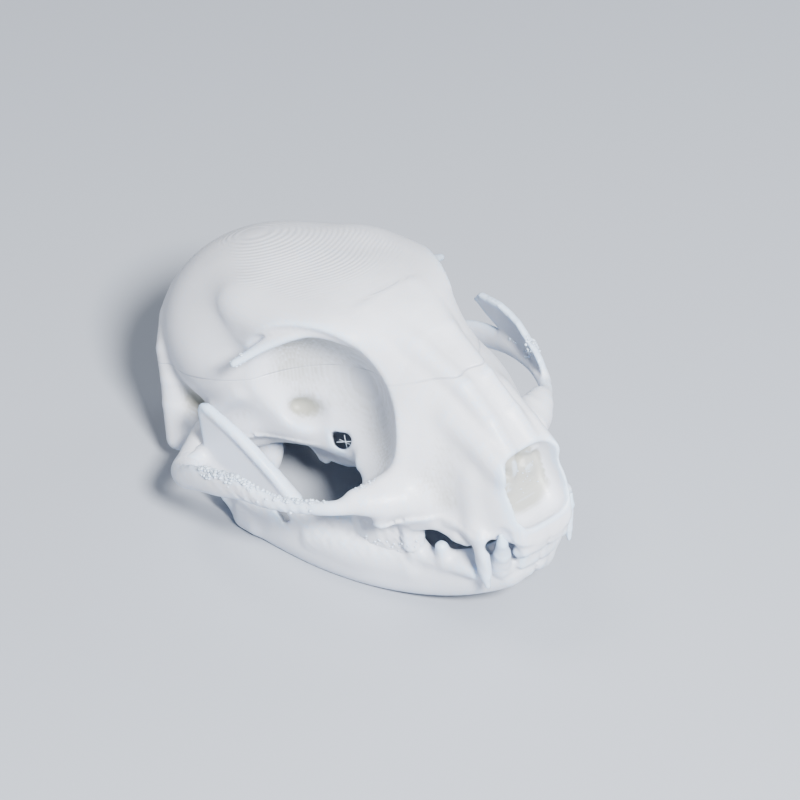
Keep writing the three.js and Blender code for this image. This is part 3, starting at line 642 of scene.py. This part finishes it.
def mixed(tree, factor, first, second, blend="MIX"):
    """Colour between two colours, each given as three numbers or as a node."""
    mix = tree.nodes.new("ShaderNodeMix")
    mix.data_type = "RGBA"
    mix.blend_type = blend
    for title, value in (("Factor", factor), ("A", first), ("B", second)):
        slot = next(s for s in mix.inputs if s.name == title and (s.type == "RGBA") == (title != "Factor"))
        if isinstance(value, (int, float)):
            slot.default_value = value
        elif isinstance(value, tuple):
            slot.default_value = (*value, 1)
        else:
            tree.links.new(output(value), slot)
    return next(o for o in mix.outputs if o.type == "RGBA")


def print_plastic(name, white, hollow, thin, depth_of_light):
    """Milky filament with layer lines, its colour painted with light and shade: painted bluish light where thin, as if
    shining through the edges, and painted shade, grey and a little yellow, in hollows.
    """
    material = bpy.data.materials.new(name)
    material.use_nodes = True
    tree = material.node_tree
    shader = tree.nodes["Principled BSDF"]
    place = tree.nodes.new("ShaderNodeTexCoord").outputs["Object"]
    near = fed(tree, "ShaderNodeAttribute", attribute_name="near_plastic").outputs["Fac"]
    wide = fed(tree, "ShaderNodeAttribute", attribute_name="wide_plastic").outputs["Fac"]
    height = fed(tree, "ShaderNodeVectorMath", place, PRINT_AXIS, operation="DOT_PRODUCT").outputs["Value"]
    facing = fed(tree, "ShaderNodeVectorMath", tree.nodes.new("ShaderNodeNewGeometry").outputs["Normal"], PRINT_AXIS,
                 operation="DOT_PRODUCT").outputs["Value"]

    # Streaks that run along the layers: noise squeezed hard across them.
    along_cells, across_cells = STREAK_CELLS
    across = fed(tree, "ShaderNodeCombineXYZ", 0.0, 0.0, sums(tree, "MULTIPLY", height, across_cells))
    along = fed(tree, "ShaderNodeVectorMath", place, (along_cells,) * 3, operation="MULTIPLY")
    streak_place = fed(tree, "ShaderNodeVectorMath", across, along, operation="ADD")
    streak = fed(tree, "ShaderNodeTexNoise", streak_place).outputs["Fac"]
    grit = fed(tree, "ShaderNodeTexNoise", place, None, GRIT_SCALE, 3.0).outputs["Fac"]
    cloud = fed(tree, "ShaderNodeTexNoise", place, None, CLOUD_SCALE, 3.0).outputs["Fac"]

    # The shifted layer: a shallow groove with a lip, darkened with painted shade.
    from_shift = sums(tree, "ABSOLUTE", sums(tree, "SUBTRACT", height, SHIFTED_LAYER))
    groove = ranged(tree, from_shift, 0.0, SHIFT_WIDTH, 1.0, 0.0)
    patchy = sums(tree, "MULTIPLY", groove, ranged(tree, cloud, 0.40, 0.55, 0.35, 1.0))

    # Where the skin lies nearly level, each layer ends in a visible step.
    turns = sums(tree, "SINE", sums(tree, "MULTIPLY", height, 2 * math.pi / LAYER_HEIGHT))
    steps = sums(tree, "MULTIPLY", turns, ranged(tree, facing, *LEVEL_SKIN))

    # Painted shade, grey in the nose and in deep hollows; painted bluish light on thin edges; slow clouds of tone over
    # all of it.
    nose = tuple(laid(NOSE_HOLLOW))
    from_nose = fed(tree, "ShaderNodeVectorMath", place, nose, operation="DISTANCE").outputs["Value"]
    nose_shade = sums(tree, "MULTIPLY", ranged(tree, from_nose, *NOSE_REACH, 0.85, 0.0), ranged(tree, wide, 0.44, 0.53))
    deep = sums(tree, "MAXIMUM", nose_shade, ranged(tree, wide, 0.50, 0.70))
    # painted shade: the hollow colour darkens deep places and the nose
    body = mixed(tree, deep, white, hollow)
    # painted bluish light on thin edges, as if shining through them
    edged = mixed(tree, ranged(tree, near, 0.20, 0.50), thin, body)
    shade = ranged(tree, cloud, 0.3, 0.7, 0.93, 1.03)
    clouded = mixed(tree, 1.0, edged, fed(tree, "ShaderNodeCombineColor", shade, shade, shade), "MULTIPLY")
    lined = mixed(tree, sums(tree, "MULTIPLY", patchy, 0.50), clouded, SHIFT_SHADE_COLOUR)
    tree.links.new(lined, shader.inputs["Base Color"])

    relief = sums(tree, "MULTIPLY", streak, STREAK_RELIEF)
    relief = sums(tree, "ADD", relief, sums(tree, "MULTIPLY", steps, STEP_RELIEF))
    relief = sums(tree, "ADD", relief, sums(tree, "MULTIPLY", grit, GRIT_RELIEF))
    relief = sums(tree, "SUBTRACT", relief, sums(tree, "MULTIPLY", patchy, SHIFT_RELIEF))
    bump = tree.nodes.new("ShaderNodeBump")
    bump.inputs["Strength"].default_value = 0.9
    bump.inputs["Distance"].default_value = RELIEF_DEPTH
    tree.links.new(relief.outputs[0], bump.inputs["Height"])
    tree.links.new(bump.outputs["Normal"], shader.inputs["Normal"])
    tree.links.new(ranged(tree, streak, 0.3, 0.7, 0.33, 0.47).outputs[0], shader.inputs["Roughness"])
    shader.inputs["IOR"].default_value = 1.46
    shader.inputs["Subsurface Weight"].default_value = 0.38
    shader.inputs["Subsurface Radius"].default_value = (0.9, 1.0, 1.15)
    shader.inputs["Subsurface Scale"].default_value = depth_of_light
    return material


# ------------------------------------------------------------------ small faults of the print

BEAD_STAND = 0.35                 # how far a bead's middle stands off the skin, as a share of its radius
STRAND_TAPER = 1.4                # a strand starts this many times as thick as it ends


def beads(bm, tree, path, count, spread, sizes, chance):
    """Little blobs of plastic scattered on the surface round a path, in the skull's frame."""
    path = np.array(path, float)
    for _ in range(count):
        leg = chance.integers(len(path) - 1)
        part = chance.random()
        spot = path[leg] * (1 - part) + path[leg + 1] * part + chance.normal(0, spread, 3)
        spot, outward = tree.find_nearest(Vector(laid(spot)))[:2]
        size = chance.uniform(*sizes) / 1000
        shape = Matrix.Translation(spot + outward * size * BEAD_STAND) @ Matrix.Rotation(chance.uniform(0, 6), 4, "Z")
        stretch = Matrix.Diagonal((chance.uniform(0.8, 1.5), chance.uniform(0.8, 1.2), chance.uniform(0.6, 1.0), 1))
        bmesh.ops.create_icosphere(bm, subdivisions=1, radius=size, matrix=shape @ stretch)


def strand(bm, start, end, width):
    """Thin thread of plastic from start to end, in the skull's frame."""
    a, b = Vector(laid(start)), Vector(laid(end))
    turn = (b - a).to_track_quat("Z", "Y").to_matrix().to_4x4()
    bmesh.ops.create_cone(bm, cap_ends=True, segments=6, radius1=width / 1000, radius2=width / 1000 / STRAND_TAPER,
                          depth=(b - a).length, matrix=Matrix.Translation((a + b) / 2) @ turn)


def surface_of(piece):
    """Search tree for the nearest place on a piece."""
    mesh = piece.data
    return BVHTree.FromPolygons([v.co for v in mesh.vertices], [p.vertices for p in mesh.polygons])


def print_beads(skull):
    """Rough beads where overhangs curled: cheek arches, eye socket's rim, brow tip, nose and back teeth."""
    chance = np.random.default_rng(7)
    tree = surface_of(skull)
    bm = bmesh.new()
    near_arch = [(-25.5, 26, 7.0), (-28.0, 30, 6.9), (-29.9, 35, 7.2), (-31.3, 41, 8.3), (-32.3, 47, 8.0),
                 (-32.4, 51, 7.2)]
    far_arch = [(31.4, 41, 8.5), (30.0, 34, 7.6), (28.6, 30, 10.5), (28.3, 31, 12.0)]
    for path, count, spread, sizes in (
            (near_arch, 190, 0.7, (0.14, 0.42)),
            ([(-31.2, 42, 9), (-32.2, 46, 9)], 26, 0.7, (0.25, 0.5)),         # crown of the near arch
            (far_arch, 60, 0.5, (0.14, 0.36)),
            ([(-21.4, 22.8, 8.6), (-18, 21.4, 9.4)], 22, 0.5, (0.1, 0.24)),   # lower rim of the eye socket
            ([(-24.2, 48.6, 25), (-22.4, 47.6, 25.6)], 16, 0.4, (0.12, 0.3)),  # brow tip
            ([(1.5, 5, 5), (3.5, 5, 8)], 14, 1.2, (0.08, 0.18)),              # nose
            ([(-13, 17, -5), (-16, 30, -7)], 36, 0.7, (0.1, 0.24))):          # back teeth
        beads(bm, tree, path, count, spread, sizes, chance)
    return finished("print_beads", mesh_of("print_beads", bm))


def print_strands():
    """Threads left across the small hole in the wall of the right eye socket."""
    bm = bmesh.new()
    strand(bm, (-11.8, 38.6, 7.2), (-9.2, 36.4, 7.0), 0.07)
    strand(bm, (-10.9, 37.4, 8.6), (-10.6, 37.4, 5.4), 0.05)
    strand(bm, (-11.6, 38.0, 7.9), (-9.6, 36.6, 6.0), 0.04)
    return finished("print_strands", mesh_of("print_strands", bm))


# ------------------------------------------------------------------ the object

upper = skinned("upper_skull", upper_skull(GRAIN))
jaw = skinned("lower_jaw", lower_jaw(GRAIN))
blobs = print_beads(upper)
threads = print_strands()
# In both plastics the hollow colours are painted shade, and the thin colours are painted bluish light through thin
# edges.
plastic = print_plastic("milky_print_plastic", white=(0.70, 0.73, 0.81), hollow=(0.36, 0.365, 0.33),
                        thin=(0.60, 0.73, 0.92), depth_of_light=0.0010)
# The jaw's copy is painted a little darker and bluer all over, as painted shade and bluish bounce light; light also
# goes deeper into it.
jaw_shaded_plastic = print_plastic("jaw_shaded_print_plastic", white=(0.67, 0.71, 0.80), hollow=(0.40, 0.42, 0.44),
                             thin=(0.55, 0.71, 0.92), depth_of_light=0.0014)

for piece, slot, finish, nodes in (
        (upper, "print_plastic", plastic, ("braincase", "face", "cheek_arch_left", "cheek_arch_right",
                                           "ear_capsule_left", "ear_capsule_right")),
        (jaw, "print_plastic_thin", jaw_shaded_plastic, ("jaw_left", "jaw_right")),
        (blobs, "print_plastic", plastic, ()),
        (threads, "print_plastic", plastic, ())):
    piece.data.materials.append(finish)
    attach(piece, "root")
    if nodes:
        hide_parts(*nodes)


# ------------------------------------------------------------------ table, light and camera

LIGHT_AIM = Vector((0, 0, 0.02))  # all the lights face the middle of the skull


def pale_table():
    bm = bmesh.new()
    bmesh.ops.create_grid(bm, x_segments=1, y_segments=1, size=3.0)
    table = linked("pale_table", mesh_of("pale_table", bm))
    paint = bpy.data.materials.new("pale_table_top")
    paint.use_nodes = True
    shader = paint.node_tree.nodes["Principled BSDF"]
    shader.inputs["Base Color"].default_value = (0.36, 0.39, 0.45, 1)
    shader.inputs["Roughness"].default_value = 0.75
    table.data.materials.append(paint)


def softbox(name, place, size, power, colour):
    """Round soft lamp at a place."""
    light = bpy.data.lights.new(name, "AREA")
    light.shape = "DISK"
    light.size = size
    light.energy = power
    light.color = colour
    lamp = linked(name, light)
    lamp.location = place
    lamp.rotation_euler = (LIGHT_AIM - Vector(place)).to_track_quat("-Z", "Y").to_euler()


def room_light(colour, strength):
    """Even light from all round."""
    world = bpy.data.worlds.new("room")
    bpy.context.scene.world = world
    world.use_nodes = True
    background = world.node_tree.nodes["Background"]
    background.inputs["Color"].default_value = (*colour, 1)
    background.inputs["Strength"].default_value = strength


def camera_at(place, azimuth, elevation, roll, angle):
    """Camera that looks back along its azimuth and elevation, with angles in degrees."""
    a, e, r = math.radians(azimuth), math.radians(elevation), math.radians(roll)
    back = Vector((math.sin(a) * math.cos(e), -math.cos(a) * math.cos(e), math.sin(e)))
    right = Vector((math.cos(a), math.sin(a), 0))
    up = back.cross(right)
    turned_right = math.cos(r) * right + math.sin(r) * up
    turned_up = math.cos(r) * up - math.sin(r) * right
    lens = bpy.data.cameras.new("camera")
    lens.angle = math.radians(angle)
    lens.clip_start = 0.01
    lens.clip_end = 20
    camera = linked("camera", lens)
    matrix = Matrix((turned_right, turned_up, back)).transposed().to_4x4()
    matrix.translation = place
    camera.matrix_world = matrix
    bpy.context.scene.camera = camera


pale_table()
softbox("key_light", (-0.22, -0.55, 0.56), 0.16, 25.0, (1.0, 0.99, 0.97))
softbox("side_light", (0.62, -0.10, 0.40), 0.35, 1.8, (0.90, 0.95, 1.0))
softbox("top_light", (-0.10, 0.30, 0.72), 0.35, 2.6, (0.97, 0.98, 1.0))
room_light((0.72, 0.82, 1.0), 0.085)
camera_at((-0.28298, -0.32247 + (PIVOT_BACK - MIDDLE_BACK) / 1000, 0.33056 + REST_DEPTH / 1000),
          azimuth=-42.034, elevation=36.911, roll=-0.104, angle=15.0)
